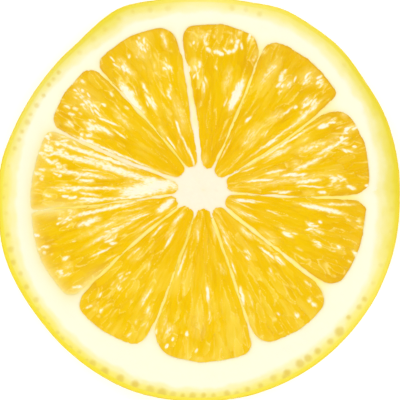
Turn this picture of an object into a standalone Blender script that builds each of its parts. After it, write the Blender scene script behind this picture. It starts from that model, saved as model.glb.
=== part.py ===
"""A round slice cut across the middle of an orange, lying flat on its lower cut face.

The slice is one grown piece: a yellow peel (rind outside, white pith inside), a
white core just off the middle, thin membranes that run from the core to the pith,
and a wedge of juicy pulp between each two membranes. The pulp lies a little lower
than the membranes on both cut faces, because it drains and shrinks once it is cut.

Units are metres. The Z axis runs through the slice, the lower cut face is at Z = 0,
and the origin is below the middle of the slice's box.
"""

import math
from dataclasses import dataclass

import bmesh
import bpy
from mathutils import Vector

# Overall sizes
FRUIT_RADIUS = 0.0380
SLICE_THICKNESS = 0.0070

# The skin isn't quite round: how far it stands out from the round, by direction in degrees
SKIN_LUMPS = (
    (0, 0.0001),
    (12, 0.0004),
    (25, 0.0007),
    (36, 0.0006),
    (47, 0.0012),
    (57, 0.0012),
    (66, 0.0013),
    (75, 0.0005),
    (84, 0.0002),
    (94, 0.0002),
    (104, 0.0006),
    (112, 0.0012),
    (120, 0.0004),
    (127, -0.0005),
    (140, -0.0008),
    (150, -0.0008),
    (160, -0.0005),
    (170, 0.0000),
    (185, 0.0001),
    (198, 0.0003),
    (210, -0.0001),
    (220, -0.0002),
    (235, 0.0001),
    (250, 0.0004),
    (275, 0.0004),
    (305, 0.0004),
    (320, 0.0003),
    (345, 0.0002),
)
EDGE_ROUNDING = 0.0004

# The core stands off the middle of the fruit, so the peel is thicker on the far side
CORE_OFFSET = Vector((0.0008, 0.0017))
CORE_RADIUS = 0.0043
PEEL_THICKNESS = 0.0060

# The membranes between the segments, by direction in degrees from the core
MEMBRANE_THICKNESS = 0.0008
MEMBRANE_DIRECTIONS = (-3.5, 33.0, 67.5, 99.0, 131.0, 158.5, 187.5, 220.0, 250.5, 288.0, 321.5)

# The pulp on each cut face
PULP_DROP = 0.0004
PULP_SLOPE = 0.0003
PULP_CORNER_RADIUS = 0.0030

# Points along each curve
SKIN_POINTS = 144
BULGE_RINGS = 3
ROUNDING_STEPS = 2
CORNER_STEPS = 6
ARC_STEPS = 7

FULL_TURN = 360
QUARTER_TURN = math.pi / 2

RIND_MATERIAL = 0
PITH_MATERIAL = 1
PULP_MATERIAL = 2


@dataclass
class Material:
    """A plain surface: its name, linear colour and roughness."""

    name: str
    colour: tuple
    roughness: float


MATERIALS = (
    Material("rind", (0.90, 0.66, 0.06, 1.0), 0.38),
    Material("pith", (0.98, 0.94, 0.68, 1.0), 0.60),
    Material("pulp", (0.90, 0.52, 0.01, 1.0), 0.22),
)


def clear_scene():
    """Remove every object that the new file holds."""
    for item in list(bpy.data.objects):
        bpy.data.objects.remove(item, do_unlink=True)


def add_materials(mesh):
    """Give a mesh the rind, pith and pulp materials, in that order."""
    for finish in MATERIALS:
        material = bpy.data.materials.get(finish.name) or bpy.data.materials.new(finish.name)
        material.use_nodes = True
        material.diffuse_color = finish.colour
        shader = material.node_tree.nodes["Principled BSDF"]
        shader.inputs["Base Color"].default_value = finish.colour
        shader.inputs["Roughness"].default_value = finish.roughness
        shader.inputs["Metallic"].default_value = 0.0
        mesh.materials.append(material)


def towards(turn, distance):
    """The point this far from the middle, in a direction given in radians."""
    return distance * Vector((math.cos(turn), math.sin(turn)))


def arc(centre, radius, start, end, steps):
    """Points along an arc, both ends included; the angles are in radians."""
    turns = [start + (end - start) * step / steps for step in range(steps + 1)]
    return [centre + towards(turn, radius) for turn in turns]


def skin_lump(direction):
    """How far the skin stands out of the round, on a smooth closed curve through SKIN_LUMPS."""
    count = len(SKIN_LUMPS)
    before = max(i for i in range(count) if SKIN_LUMPS[i][0] <= direction)
    start = SKIN_LUMPS[before][0]
    end = SKIN_LUMPS[(before + 1) % count][0]
    t = (direction - start) / ((end - start) % FULL_TURN)
    a, b, c, d = (SKIN_LUMPS[(before + step) % count][1] for step in (-1, 0, 1, 2))
    slope = c - a
    bend = 2 * a - 5 * b + 4 * c - d
    twist = 3 * b - a - 3 * c + d
    return b + 0.5 * (slope * t + bend * t**2 + twist * t**3)


def skin_outline():
    """The skin's line at mid-thickness, moved so that its box is centred on the origin.

    Returns the points, and the shift that centred them.
    """
    directions = [FULL_TURN * i / SKIN_POINTS for i in range(SKIN_POINTS)]
    points = [towards(math.radians(d), FRUIT_RADIUS + skin_lump(d)) for d in directions]
    across = [p.x for p in points]
    along = [p.y for p in points]
    shift = -Vector((min(across) + max(across), min(along) + max(along))) / 2
    return [p + shift for p in points], shift


def skin_section():
    """The rim from the lower cut face to the upper one, as (inset from the skin line, height).

    The rim bulges like the ball it was cut from, and its two cut edges are slightly rounded.
    """
    turns = [QUARTER_TURN * step / ROUNDING_STEPS for step in range(ROUNDING_STEPS + 1)]
    lower = [(EDGE_ROUNDING * (1 - math.sin(t)), EDGE_ROUNDING * (1 - math.cos(t))) for t in turns]
    upper = [(inset, SLICE_THICKNESS - height) for inset, height in reversed(lower)]
    between = (SLICE_THICKNESS - 2 * EDGE_ROUNDING) / (BULGE_RINGS + 1)
    middle = [(0.0, EDGE_ROUNDING + between * ring) for ring in range(1, BULGE_RINGS + 1)]

    section = []
    for inset, height in lower + middle + upper:
        off_middle = height - SLICE_THICKNESS / 2
        bulge = FRUIT_RADIUS - math.sqrt(FRUIT_RADIUS**2 - off_middle**2)
        section.append((inset + bulge, height))
    return section


def build_slab():
    """The slice before its pulp is let down: a lumpy disc with a bulging rim.

    Returns the shape, and the shift that centred it.
    """
    outline, shift = skin_outline()
    slab = bmesh.new()
    rings = []
    for inset, height in skin_section():
        drawn_in = [p - inset * p.normalized() for p in outline]
        rings.append([slab.verts.new((p.x, p.y, height)) for p in drawn_in])
    for lower, upper in zip(rings, rings[1:]):
        for i in range(SKIN_POINTS):
            j = (i + 1) % SKIN_POINTS
            side = slab.faces.new((lower[i], lower[j], upper[j], upper[i]))
            side.material_index = RIND_MATERIAL
            side.smooth = True
    for cut_face in (reversed(rings[0]), rings[-1]):
        slab.faces.new(cut_face).material_index = PITH_MATERIAL
    return slab, shift


def segment_outline(first, second, inset):
    """The rounded wedge between two membranes, seen from above and measured from the core's middle.

    Its sides run parallel to the membranes. Its tip is a round that stops at the core, its outer
    side follows the pith, and its two outer corners are rounds.

    Args:
        first: direction of the membrane on its clockwise side, in degrees.
        second: direction of the membrane on its other side, in degrees.
        inset: how far the whole outline is drawn in.
    """
    middle = math.radians((first + second) / 2)
    half_angle = math.radians((second - first) / 2)
    half_membrane = MEMBRANE_THICKNESS / 2

    spread = math.sin(half_angle)
    tip_radius = (CORE_RADIUS * spread - half_membrane) / (1 - spread)
    tip = towards(middle, CORE_RADIUS + tip_radius)

    outer_radius = FRUIT_RADIUS - PEEL_THICKNESS
    corner_distance = outer_radius - PULP_CORNER_RADIUS
    corner_turn = half_angle - math.asin((PULP_CORNER_RADIUS + half_membrane) / corner_distance)
    corner_radius = PULP_CORNER_RADIUS - inset
    right = middle - corner_turn
    left = middle + corner_turn

    # Directions that point square out of the wedge's two straight sides
    out_right = middle - half_angle - QUARTER_TURN
    out_left = middle + half_angle + QUARTER_TURN
    round_the_tip = out_right + 2 * math.pi

    outline = arc(tip, tip_radius - inset, out_left, round_the_tip, CORNER_STEPS)
    outline += arc(towards(right, corner_distance), corner_radius, out_right, right, CORNER_STEPS)
    outline += arc(Vector((0, 0)), outer_radius - inset, right, left, ARC_STEPS)[1:-1]
    outline += arc(towards(left, corner_distance), corner_radius, left, out_left, CORNER_STEPS)
    return outline


def add_hollow(hollows, mouth, floor, mouth_height, floor_height):
    """Add one closed wedge to the hollows, from its outline at the mouth to its outline at the floor."""
    top = [hollows.verts.new((p.x, p.y, mouth_height)) for p in mouth]
    bottom = [hollows.verts.new((p.x, p.y, floor_height)) for p in floor]
    hollows.faces.new(top)
    hollows.faces.new(bottom)
    for i in range(len(top)):
        j = (i + 1) % len(top)
        hollows.faces.new((bottom[i], bottom[j], top[j], top[i]))


def build_hollows(shift):
    """The spaces that the pulp leaves on both cut faces, one closed wedge for each segment and face.

    Each wedge reaches as far out of the slice as into it, so its slope crosses the cut face midway.
    """
    hollows = bmesh.new()
    core = CORE_OFFSET + shift
    directions = MEMBRANE_DIRECTIONS + (MEMBRANE_DIRECTIONS[0] + FULL_TURN,)
    for first, second in zip(directions, directions[1:]):
        mouth = [core + p for p in segment_outline(first, second, -PULP_SLOPE)]
        floor = [core + p for p in segment_outline(first, second, PULP_SLOPE)]
        add_hollow(hollows, mouth, floor, -PULP_DROP, PULP_DROP)
        add_hollow(hollows, mouth, floor, SLICE_THICKNESS + PULP_DROP, SLICE_THICKNESS - PULP_DROP)
    for face in hollows.faces:
        face.material_index = PULP_MATERIAL
    bmesh.ops.recalc_face_normals(hollows, faces=hollows.faces)
    return hollows


def add_object(name, shape):
    """Turn a finished bmesh into a named object with the three materials."""
    mesh = bpy.data.meshes.new(name)
    shape.to_mesh(mesh)
    shape.free()
    add_materials(mesh)
    item = bpy.data.objects.new(name, mesh)
    bpy.context.scene.collection.objects.link(item)
    return item


def build_slice():
    """The finished slice, with its pulp let down between the membranes."""
    slab, shift = build_slab()
    orange_slice = add_object("orange_slice", slab)
    hollows = add_object("pulp_hollows", build_hollows(shift))
    hollows.hide_render = True
    hollows.display_type = "WIRE"
    let_down = orange_slice.modifiers.new("pulp_let_down", "BOOLEAN")
    let_down.operation = "DIFFERENCE"
    let_down.object = hollows


clear_scene()
build_slice()
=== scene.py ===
"""The look of a fresh slice of orange, built around its plain solid.

The slice lies flat. Its peel, membranes and core are one closed shell with eleven windows, and
each window holds a segment of pulp whose juice sacs are modelled one by one. Sizes are in
millimetres, measured in the plain solid's frame, and meshes are made in metres. Directions are
in degrees, anticlockwise from +X, as seen from above and from the middle of the core.
"""

import logging
import math
from dataclasses import dataclass, field
from enum import Enum, IntEnum

import bpy
import numpy as np
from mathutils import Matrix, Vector
from mathutils.geometry import delaunay_2d_cdt


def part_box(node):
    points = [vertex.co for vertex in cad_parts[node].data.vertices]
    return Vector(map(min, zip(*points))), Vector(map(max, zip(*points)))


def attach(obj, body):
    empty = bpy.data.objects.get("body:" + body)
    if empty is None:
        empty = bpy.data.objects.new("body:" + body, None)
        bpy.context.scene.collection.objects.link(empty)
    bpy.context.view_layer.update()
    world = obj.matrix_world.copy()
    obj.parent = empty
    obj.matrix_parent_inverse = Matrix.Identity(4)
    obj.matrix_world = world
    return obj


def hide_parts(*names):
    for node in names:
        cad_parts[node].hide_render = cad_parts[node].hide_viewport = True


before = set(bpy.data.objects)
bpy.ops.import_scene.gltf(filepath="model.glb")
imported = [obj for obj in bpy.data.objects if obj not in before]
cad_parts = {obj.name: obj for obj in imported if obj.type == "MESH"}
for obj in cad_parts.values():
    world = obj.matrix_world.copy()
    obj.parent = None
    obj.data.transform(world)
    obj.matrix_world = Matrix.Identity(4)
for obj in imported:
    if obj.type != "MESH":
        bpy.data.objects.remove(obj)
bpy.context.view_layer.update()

LOG = logging.getLogger("orange_slice")
Array = np.ndarray

MM = 0.001
NODE = "orange_slice"
BODY = "root"

LOWEST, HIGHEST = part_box(NODE)
THICKNESS = (HIGHEST.z - LOWEST.z) / MM
FRUIT_RADIUS = 38.0

# The middle of the core, in the plane of the slice, and the core's radius
CORE = np.array([0.79, 1.82])
CORE_RADIUS = 4.3

# Points nearer than the first are one point, and no two points are as far apart as the second
SAME_POINT = 1e-6
FAR = 99.0


class CutFace(Enum):
    """The two cut faces of the slice, by the way that each one looks."""

    UPPER = 1
    LOWER = -1

    def height(self, sunk: Array) -> Array:
        """Heights of points that lie this far inside the slice, measured from this face."""
        return THICKNESS - sunk if self is CutFace.UPPER else sunk


def smooth_step(low: float, high: float, value: Array) -> Array:
    """A soft ramp from 0 at low to 1 at high."""
    t = np.clip((value - low) / (high - low), 0, 1)
    return t * t * (3 - 2 * t)


def rounded_corner(a: Array, b: Array, radius: float) -> Array:
    """How far points are inside two edges at once, where the corner between the edges is a round.

    Args:
        a: distances inside the first edge.
        b: distances inside the second edge.
        radius: the corner's radius.

    Returns:
        Distances inside both edges, negative outside.
    """
    cut = np.hypot(np.maximum(radius - a, 0), np.maximum(radius - b, 0))
    return np.maximum(radius, np.minimum(a, b)) - cut


class Noise:
    """Smooth seeded noise over a plane, from about -1 to 1, with one lump to each unit of length."""

    SIZE = 256
    # How far each finer layer is moved, so that the layers' lumps don't line up
    LAYER_SHIFT = (17.3, -9.1)

    def __init__(self, seed: int) -> None:
        """Fill the table of lumps from a seed."""
        self.table = np.random.default_rng(seed).uniform(-1, 1, (self.SIZE, self.SIZE))

    def at(self, x: Array, y: Array) -> Array:
        """The noise at points x, y.

        Args:
            x: the points' first coordinates, in lumps.
            y: their second coordinates.

        Returns:
            One value for each point.
        """
        column, row = np.floor(x).astype(int), np.floor(y).astype(int)
        across = smooth_step(0, 1, x - column)
        along = smooth_step(0, 1, y - row)
        left, right = column % self.SIZE, (column + 1) % self.SIZE
        low, high = row % self.SIZE, (row + 1) % self.SIZE
        near = self.table[low, left] * (1 - across) + self.table[low, right] * across
        far = self.table[high, left] * (1 - across) + self.table[high, right] * across
        return near * (1 - along) + far * along

    def layered(self, x: Array, y: Array, layers: int = 3) -> Array:
        """The noise with finer and weaker layers added to it.

        Args:
            x: the points' first coordinates, in lumps.
            y: their second coordinates.
            layers: how many layers there are, each twice as fine and half as strong as the last.

        Returns:
            One value for each point.
        """
        total = np.zeros_like(x, dtype=float)
        shift_x, shift_y = self.LAYER_SHIFT
        for layer in range(layers):
            fineness = 2.0**layer
            total += self.at(x * fineness + shift_x * layer, y * fineness + shift_y * layer) / fineness
        return total / (2 - 2.0 ** (1 - layers))


def to_polar(points: Array) -> tuple[Array, Array]:
    """Distance from the core's middle, and direction in degrees from 0 to 360."""
    offset = points - CORE
    return np.hypot(*offset.T), np.degrees(np.arctan2(offset[:, 1], offset[:, 0])) % 360


def along_and_across(offset: Array, direction: float) -> tuple[Array, Array]:
    """Split offsets into the part along a direction and the part across it.

    Args:
        offset: the offsets.
        direction: the direction, in degrees.

    Returns:
        How far each offset goes along the direction, and how far to the left of it.
    """
    turn = math.radians(direction)
    along = offset @ (math.cos(turn), math.sin(turn))
    return along, offset @ (-math.sin(turn), math.cos(turn))


def from_polar(distance: float | Array, direction: float | Array) -> Array:
    """Points at a distance and direction, in degrees, from the core's middle."""
    turn = np.radians(direction)
    return CORE + np.stack([distance * np.cos(turn), distance * np.sin(turn)], axis=-1)


def along_grain(across: Array, along: Array, piece: float) -> Array:
    """The coordinates that a finish reads: across the fibres, along them, and which piece."""
    return np.column_stack([across, along, np.full(len(across), piece)])


def turn_from(direction: Array, reference: float | Array) -> Array:
    """The signed angle in degrees from a reference direction, from -180 to 180."""
    return (direction - reference + 180) % 360 - 180


def around(direction: Array, table: tuple[tuple[float, ...], ...], column: int) -> Array:
    """A value that changes smoothly with direction, read between the rows of a table.

    Args:
        direction: directions in degrees.
        table: rows that start with a direction, in rising order.
        column: which column of the rows to read.

    Returns:
        The value at each direction.
    """
    rows = np.array(table)
    known = np.concatenate([rows[-1:, 0] - 360, rows[:, 0], rows[:1, 0] + 360])
    value = np.concatenate([rows[-1:, column], rows[:, column], rows[:1, column]])
    return np.interp(np.asarray(direction) % 360, known, value)


def spaced_evenly(loop: Array, spacing: float, fewest: int = 12) -> Array:
    """A closed loop's points, moved along it so that they stand one spacing apart.

    Args:
        loop: the loop's points.
        spacing: the distance between the new points.
        fewest: the least number of new points.

    Returns:
        The new points, in the same order.
    """
    closed = np.vstack([loop, loop[:1]])
    travelled = np.concatenate([[0], np.cumsum(np.hypot(*np.diff(closed, axis=0).T))])
    count = max(fewest, round(travelled[-1] / spacing))
    stops = np.arange(count) * travelled[-1] / count
    return np.stack([np.interp(stops, travelled, closed[:, i]) for i in (0, 1)], axis=1)


def honeycomb(low: Array, high: Array, spacing: float, seed: int, stray: float = 0.2) -> Array:
    """Points over a box, in staggered rows, each moved a little at random.

    Args:
        low: the box's lower left corner.
        high: its upper right corner.
        spacing: the distance between the points.
        seed: the random numbers' seed.
        stray: how far a point may be moved, as a share of the spacing.

    Returns:
        The points.
    """
    rows = np.arange(low[1], high[1], spacing * math.sqrt(3) / 2)
    columns = np.arange(low[0], high[0], spacing)
    x, y = np.meshgrid(columns, rows)
    x = x + np.where(np.arange(len(rows)) % 2, spacing / 2, 0)[:, None]
    points = np.stack([x.ravel(), y.ravel()], axis=1)
    return points + np.random.default_rng(seed).uniform(-stray, stray, points.shape) * spacing


def fill_region(loops: list[Array], inner: Array) -> tuple[Array, Array, list[Array]]:
    """Triangles that fill the first loop and leave the other loops open.

    Args:
        loops: closed loops of points, anticlockwise, the outer one first.
        inner: loose points that the triangles pass through.

    Returns:
        All points, the triangles' corners, and for each loop the places of its points.
    """
    ends = np.cumsum([len(loop) for loop in loops])
    starts = ends - [len(loop) for loop in loops]
    outlines = [list(range(start, end)) for start, end in zip(starts, ends)]
    given = np.concatenate([*loops, inner])
    made = delaunay_2d_cdt([Vector(p) for p in given], [], outlines, 0, SAME_POINT)
    points, _, triangles, sources, _, inside = made
    kept = np.array([t for t, found in zip(triangles, inside) if list(found) == [0]])
    place = np.zeros(len(given), dtype=int)
    for index, source in enumerate(sources):
        place[list(source)] = index
    used = np.unique(kept)
    renumbered = np.full(len(points), -1)
    renumbered[used] = np.arange(len(used))
    flat = np.array([tuple(p) for p in points])[used]
    return flat, renumbered[kept], [renumbered[place[outline]] for outline in outlines]


@dataclass
class Shell:
    """A closed mesh in the making, with named qualities that its finish reads at each point."""

    name: str
    points: list[Array] = field(default_factory=list)
    triangles: list[Array] = field(default_factory=list)
    creased: list[Array] = field(default_factory=list)
    qualities: dict[str, list[Array]] = field(default_factory=dict)
    count: int = 0

    def add(self, flat: Array, height: Array, **qualities: float | Array) -> Array:
        """Add points, in millimetres, with their qualities.

        Args:
            flat: the points' places in the plane.
            height: their heights.
            **qualities: one value or one vector for each point, or one value for them all.

        Returns:
            The numbers that the points have in this shell.
        """
        self.points.append(np.column_stack([flat, height]))
        for quality, given in qualities.items():
            values = np.asarray(given, dtype=np.float32)
            values = np.broadcast_to(values, (len(flat), *values.shape[1:]))
            self.qualities.setdefault(quality, []).append(values)
        numbers = np.arange(self.count, self.count + len(flat))
        self.count += len(flat)
        return numbers

    def add_triangles(self, triangles: Array, look: CutFace) -> None:
        """Add triangles that face up, or turned over if they belong to the lower face."""
        self.triangles.append(triangles if look is CutFace.UPPER else triangles[:, ::-1])
        self.creased.append(np.zeros(len(triangles), dtype=bool))

    def add_band(self, lower: Array, upper: Array, creased: bool = False) -> None:
        """Join two closed rings of points; the faces look away from the rings' inner side.

        Args:
            lower: the lower ring's points.
            upper: the upper ring's points.
            creased: whether the band meets its neighbours at a sharp edge.
        """
        after_lower, after_upper = np.roll(lower, -1), np.roll(upper, -1)
        self.triangles.append(np.column_stack([lower, after_lower, after_upper]))
        self.triangles.append(np.column_stack([lower, after_upper, upper]))
        self.creased.append(np.full(2 * len(lower), creased))

    def finish(self, material: bpy.types.Material, slot: str) -> bpy.types.Object:
        """Make the object, in metres, and tie it to the slice's body.

        Args:
            material: its finish.
            slot: the name of a material slot; not used.

        Returns:
            The finished object.
        """
        mesh = bpy.data.meshes.new(self.name)
        points = np.concatenate(self.points) * MM
        mesh.from_pydata(points.tolist(), [], np.concatenate(self.triangles).tolist())
        smooth = ~np.concatenate(self.creased)
        mesh.polygons.foreach_set("use_smooth", smooth)
        for quality, parts in self.qualities.items():
            values = np.concatenate(parts)
            kind, key = ("FLOAT", "value") if values.ndim == 1 else ("FLOAT_VECTOR", "vector")
            mesh.attributes.new(quality, kind, "POINT").data.foreach_set(key, values.ravel())
        mesh.materials.append(material)
        piece = bpy.data.objects.new(self.name, mesh)
        bpy.context.scene.collection.objects.link(piece)
        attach(piece, BODY)
        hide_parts(NODE)
        LOG.info("%s: %d points, %d faces", self.name, self.count, len(mesh.polygons))
        return piece


@dataclass(frozen=True)
class Membrane:
    """A thin wall between two segments, from the core to the pith.

    Attributes:
        at_core: the direction in which it leaves the core.
        at_pith: the direction in which it reaches the pith.
        thickness: its thickness in the middle of the flesh.
        root: its thickness where it grows into the pith.
        paleness: how white it is near the core, halfway and near the pith, from 0 for yellow
            with juice to 1.
        root_start: how far from the core's middle it starts to thicken.
    """

    at_core: float
    at_pith: float
    thickness: float
    root: float
    paleness: tuple[float, float, float]
    root_start: float = 26.0

    # Where it starts and ends, and where its paleness is given, measured from the core's middle
    starts_at: float = 5.0
    ends_at: float = 31.0
    paleness_read_at: tuple[float, float, float] = (9.0, 17.5, 26.0)
    # How uneven its thickness is, as a share of it, and how far its middle line sways
    uneven: float = 0.35
    sway: float = 0.16
    # The length of one uneven stretch, and of one sway
    uneven_length: float = 1.9
    sway_length: float = 3.4

    def direction(self, distance: Array) -> Array:
        """Its direction in degrees, at a distance from the core's middle."""
        along = np.clip((distance - self.starts_at) / (self.ends_at - self.starts_at), 0, 1)
        return self.at_core + (self.at_pith - self.at_core) * along

    def half_thickness(self, distance: Array) -> Array:
        """Half its thickness, at a distance from the core's middle.

        Args:
            distance: distances from the core's middle.

        Returns:
            Half the thickness at each distance.
        """
        thicker = smooth_step(self.root_start, self.ends_at, distance)
        place = distance / self.uneven_length
        uneven = 1 + self.uneven * NOISES.outline.layered(place, place * 0 + self.at_core, 2)
        return (self.thickness * uneven + (self.root - self.thickness) * thicker) / 2

    def beside(self, distance: Array, direction: Array) -> Array:
        """How far points lie to its anticlockwise side, measured from its swaying middle line.

        Args:
            distance: the points' distances from the core's middle.
            direction: their directions.

        Returns:
            The distance to its middle line, negative on its clockwise side.
        """
        place = distance / self.sway_length
        sway = self.sway * NOISES.outline.layered(place, place * 0 + self.at_pith, 2)
        return distance * np.sin(np.radians(turn_from(direction, self.direction(distance)))) - sway


@dataclass(frozen=True)
class Dash:
    """A pale streak in the pulp: fibre, partly a painted highlight.

    Attributes:
        direction: where it lies, seen from the core.
        start: where it starts, measured from the core's middle.
        end: where it ends.
        width: its width.
        strength: how white it is; 1 is white, and more keeps it white farther out.
        lean: how far its outer end leans anticlockwise of the core's direction, in degrees.
    """

    direction: float
    start: float
    end: float
    width: float
    strength: float
    lean: float = 0.0

    @classmethod
    def centred(
        cls, direction: float, middle: float, length: float, width: float, strength: float, lean: float
    ) -> "Dash":
        """A streak that is given by its length and by how far its middle is from the core's."""
        return cls(direction, middle - length / 2, middle + length / 2, width, strength, lean)


@dataclass(frozen=True)
class Segment:
    """One segment of the fruit: its shape between two membranes, and the look of its pulp.

    Attributes:
        number: its place, anticlockwise from the right-hand side.
        right: the membrane on its clockwise side.
        left: the membrane on its anticlockwise side.
        reach: how far it reaches from the core, at its right, middle and left.
        tip: how near it comes to the core's middle.
        right_corner: the radius of its outer corner on the right.
        left_corner: the radius of its outer corner on the left.
        flecks: how thickly pale flecks, partly painted highlights, cover its inner, middle and outer
            third, from 0 to 1.
        tone: how light its pulp is, from -1 to 1.
        haze: how far its colour shows through the pith beyond it, from 0 to 1.
        painted_edge_shade: painted shade towards the pith and along its outer edge, from 0 to 1.
        dashes: its larger patches of pale flecks, partly painted highlights.
    """

    number: int
    right: Membrane
    left: Membrane
    reach: tuple[float, float, float]
    tip: float
    right_corner: float
    left_corner: float
    flecks: tuple[float, float, float]
    tone: float
    haze: float
    painted_edge_shade: float
    dashes: tuple[Dash, ...]

    # The rounds at its tip and where its two sides meet
    tip_round: float = 0.9
    sides_round: float = 0.3
    # How far its outline wanders, and the length of one wander
    wander: float = 0.14
    wander_length: float = 2.4
    # The angle from its middle, in degrees, beyond which no point is inside it
    widest: int = 80
    # Its outline is looked for from a point at this share of its reach, in so many directions,
    # by halving the way so many times
    hub: float = 0.62
    outline_directions: int = 1440
    outline_halvings: int = 26

    @property
    def name(self) -> str:
        """The name of its piece."""
        return f"pulp_segment_{self.number:02d}"

    @property
    def middle(self) -> float:
        """The direction of its middle, in degrees."""
        return self.right.at_pith + turn_from(self.left.at_pith, self.right.at_pith) / 2

    @property
    def spread(self) -> float:
        """The angle between its two membranes, in degrees."""
        return float(turn_from(self.left.at_pith, self.right.at_pith))

    def depth(self, points: Array) -> Array:
        """How far points lie inside the segment's outline.

        Args:
            points: points in the plane.

        Returns:
            The depth of each point, negative outside.
        """
        distance, direction = to_polar(points)
        x, y = points.T / self.wander_length
        wander = NOISES.outline.layered(x, y, 2) * self.wander
        from_right = self.right.beside(distance, direction) - self.right.half_thickness(distance)
        from_left = -self.left.beside(distance, direction) - self.left.half_thickness(distance)
        side = turn_from(direction, self.middle) / (self.spread / 2)
        reach = np.interp(side, (-1, 0, 1), self.reach)
        from_pith = reach - distance
        right_side = rounded_corner(from_right, from_pith, self.right_corner)
        left_side = rounded_corner(from_left, from_pith, self.left_corner)
        inside = rounded_corner(right_side, left_side, self.sides_round)
        inside = rounded_corner(inside, distance - self.tip, self.tip_round)
        behind = np.abs(turn_from(direction, self.middle)) > self.widest
        inside = np.where(behind, -distance, inside)
        return inside + wander

    def outline(self, grown: float, spacing: float) -> Array:
        """The closed line around the segment.

        Args:
            grown: how far outside its own edge the line runs.
            spacing: the distance between the line's points.

        Returns:
            The line's points, anticlockwise.
        """
        centre = from_polar(self.hub * self.reach[1], self.middle)
        turns = np.linspace(0, 2 * math.pi, self.outline_directions, endpoint=False)
        ways = np.stack([np.cos(turns), np.sin(turns)], axis=1)
        near, far = np.zeros(len(turns)), np.full(len(turns), self.reach[1])
        for _ in range(self.outline_halvings):
            half = (near + far) / 2
            inside = self.depth(centre + ways * half[:, None]) > -grown
            near, far = np.where(inside, half, near), np.where(inside, far, half)
        return spaced_evenly(centre + ways * near[:, None], spacing)


class SliceNoises:
    """The noises that the slice's parts share, so that neighbouring shapes agree."""

    def __init__(self) -> None:
        """Seed one noise for each use."""
        self.outline = Noise(11)
        self.swell = Noise(12)
        self.fibre = Noise(13)
        self.fleck = Noise(14)
        self.skin = Noise(15)


NOISES = SliceNoises()


# How far a streak's edges are frayed, as a share of its width, and the farthest that they are
FRAY_SHARE = 0.28
FRAY_MOST = 0.40


def dash_cover(points: Array, dashes: list[Dash]) -> Array:
    """How strongly the pale streaks, partly painted highlights, cover points, from 0 to 1.

    Args:
        points: the points.
        dashes: the streaks.

    Returns:
        One value for each point.
    """
    cover = np.zeros(len(points))
    x, y = points.T
    fray_x = NOISES.fleck.layered(x * 1.1, y * 1.1)
    fray_y = NOISES.fleck.layered(y * 1.2, x * 1.2)
    shake = np.stack([fray_x, fray_y], axis=1)
    for dash in dashes:
        middle = from_polar((dash.start + dash.end) / 2, dash.direction)
        fray = min(FRAY_SHARE * dash.width, FRAY_MOST)
        along, across = along_and_across(points + fray * shake - middle, dash.direction + dash.lean)
        half_length, half_width = (dash.end - dash.start) / 2, dash.width / 2
        reached = np.exp(-(np.abs(along / half_length) ** 3) - (across / half_width) ** 2)
        cover = np.maximum(cover, dash.strength * reached)
    return cover


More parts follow.
